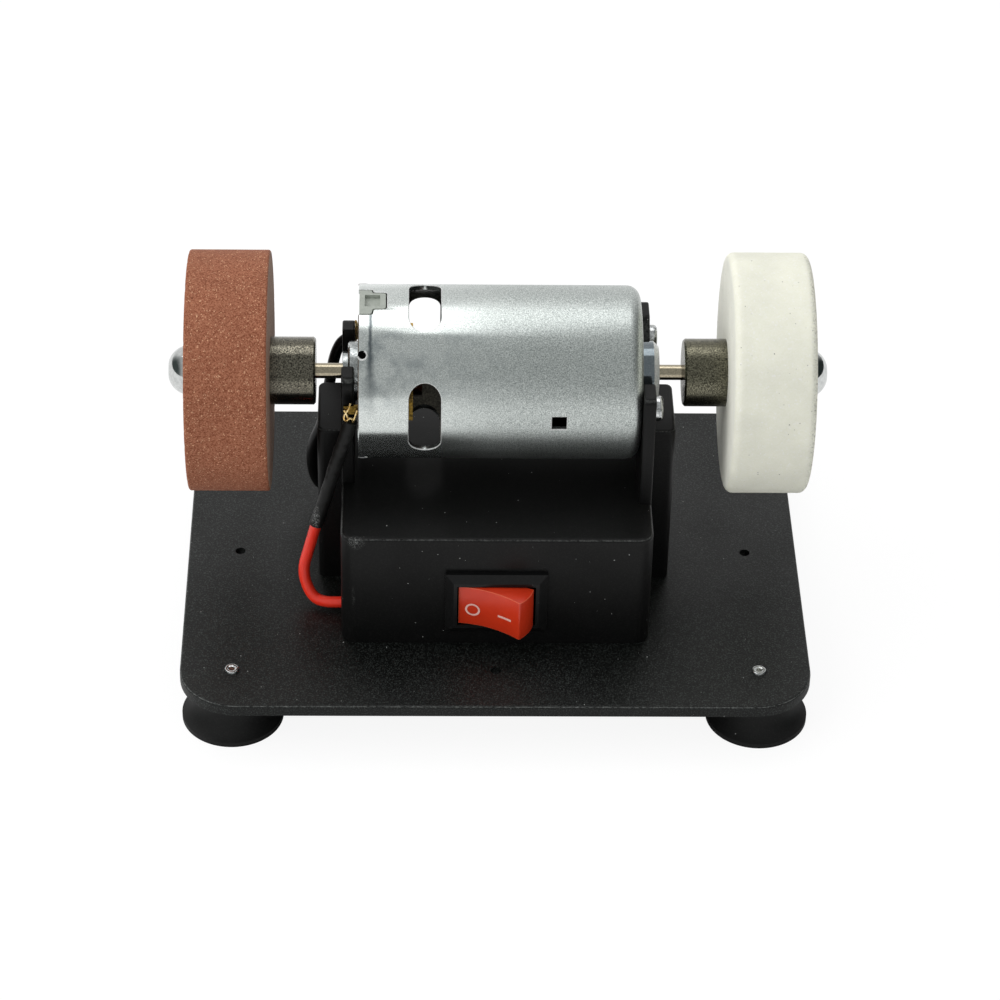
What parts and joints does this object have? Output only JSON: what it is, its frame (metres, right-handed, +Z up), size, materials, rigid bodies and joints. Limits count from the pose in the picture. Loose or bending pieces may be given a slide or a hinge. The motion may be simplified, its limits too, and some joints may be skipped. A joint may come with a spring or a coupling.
{
  "type": "desktop grinder",
  "caption": "Small double-ended bench grinder: a DC motor on a moulded housing turns an abrasive wheel at each end, with a rocker switch in front and suction feet below.",
  "frame": {"origin": "on the table, under the middle of the part's box", "axes": "+X along the motor shaft from the brown wheel to the white one, -Y to the switch, +Z up"},
  "size_m": [0.1356, 0.1008, 0.0844],
  "materials": {
    "plate_black": "fine pebbled black sheet",
    "cup_rubber": "moulded black rubber",
    "bright_screw": "zinc-plated",
    "housing_black": "satin moulded",
    "can_zinc": "satin zinc plate",
    "magnet_ferrite": "ground ferrite",
    "cap_plastic": "pale moulded",
    "holder_steel": "turned",
    "bearing_bronze": "oil-soaked bronze",
    "terminal_brass": "stamped",
    "brush_carbon": "pressed carbon",
    "spring_steel": "blued strip",
    "shaft_steel": "ground",
    "core_steel": "stacked laminations",
    "winding_copper": "enamelled copper wire",
    "arbor_steel": "dark turned steel",
    "brown_abrasive": "bonded brown alumina",
    "white_abrasive": "bonded white alumina",
    "switch_black": "moulded nylon",
    "rocker_red": "moulded",
    "lead_red": "soft wire insulation",
    "lead_black": "soft wire insulation",
    "sleeve_black": "heat-shrunk sleeve"
  },
  "bodies": {
    "base": {"base_plate": "plate_black", "suction_cup_front_left": "cup_rubber", "suction_cup_front_right": "cup_rubber", "suction_cup_rear_left": "cup_rubber", "suction_cup_rear_right": "cup_rubber", "suction_cup_studs": "bright_screw", "motor_housing": "housing_black", "housing_screws": "bright_screw", "motor_can": "can_zinc", "upper_magnet": "magnet_ferrite", "lower_magnet": "magnet_ferrite", "end_cap": "cap_plastic", "rear_bearing_holder": "holder_steel", "rear_bearing": "bearing_bronze", "front_bearing": "bearing_bronze", "brush_terminal_front": "terminal_brass", "brush_terminal_rear": "terminal_brass", "carbon_brush_front": "brush_carbon", "carbon_brush_rear": "brush_carbon", "brush_springs": "spring_steel", "motor_screws": "bright_screw", "switch_body": "switch_black", "switch_terminal_common": "terminal_brass", "switch_terminal_load": "terminal_brass", "jack_body": "switch_black", "jack_pin": "bright_screw", "jack_nut": "bright_screw", "jack_ring_lug": "terminal_brass", "red_lead_sleeve": "sleeve_black", "red_motor_lead": "lead_red", "black_motor_lead": "lead_black", "supply_lead": "lead_red"},
    "rotor": {"motor_shaft": "shaft_steel", "armature_core": "core_steel", "armature_windings": "winding_copper", "commutator": "winding_copper", "left_arbor": "arbor_steel", "right_arbor": "arbor_steel", "brown_wheel": "brown_abrasive", "white_wheel": "white_abrasive", "left_wheel_washer": "bright_screw", "right_wheel_washer": "bright_screw", "left_wheel_screw": "bright_screw", "right_wheel_screw": "bright_screw", "arbor_grub_screws": "core_steel"},
    "rocker": {"rocker": "rocker_red", "rocker_plunger": "switch_black", "plunger_spring": "spring_steel"},
    "contact": {"rocking_contact": "terminal_brass"}
  },
  "joints": [
    {"name": "rotor_spin", "type": "hinge", "parent": "base", "child": "rotor", "pos_m": [0, 0, 0.05965], "axis": [1, 0, 0], "continuous": true},
    {"name": "rocker_tilt", "type": "hinge", "parent": "base", "child": "rocker", "pos_m": [0, -0.0309, 0.0234], "axis": [0, 0, 1], "range_deg": [0, 48]},
    {"name": "contact_tilt", "type": "hinge", "parent": "base", "child": "contact", "pos_m": [0, -0.02417, 0.0234], "axis": [0, 0, 1], "range_deg": [-16, 0]}
  ],
  "couplings": [
    {"joint": "contact_tilt", "follows": "rocker_tilt", "ratio": -0.33333}
  ]
}
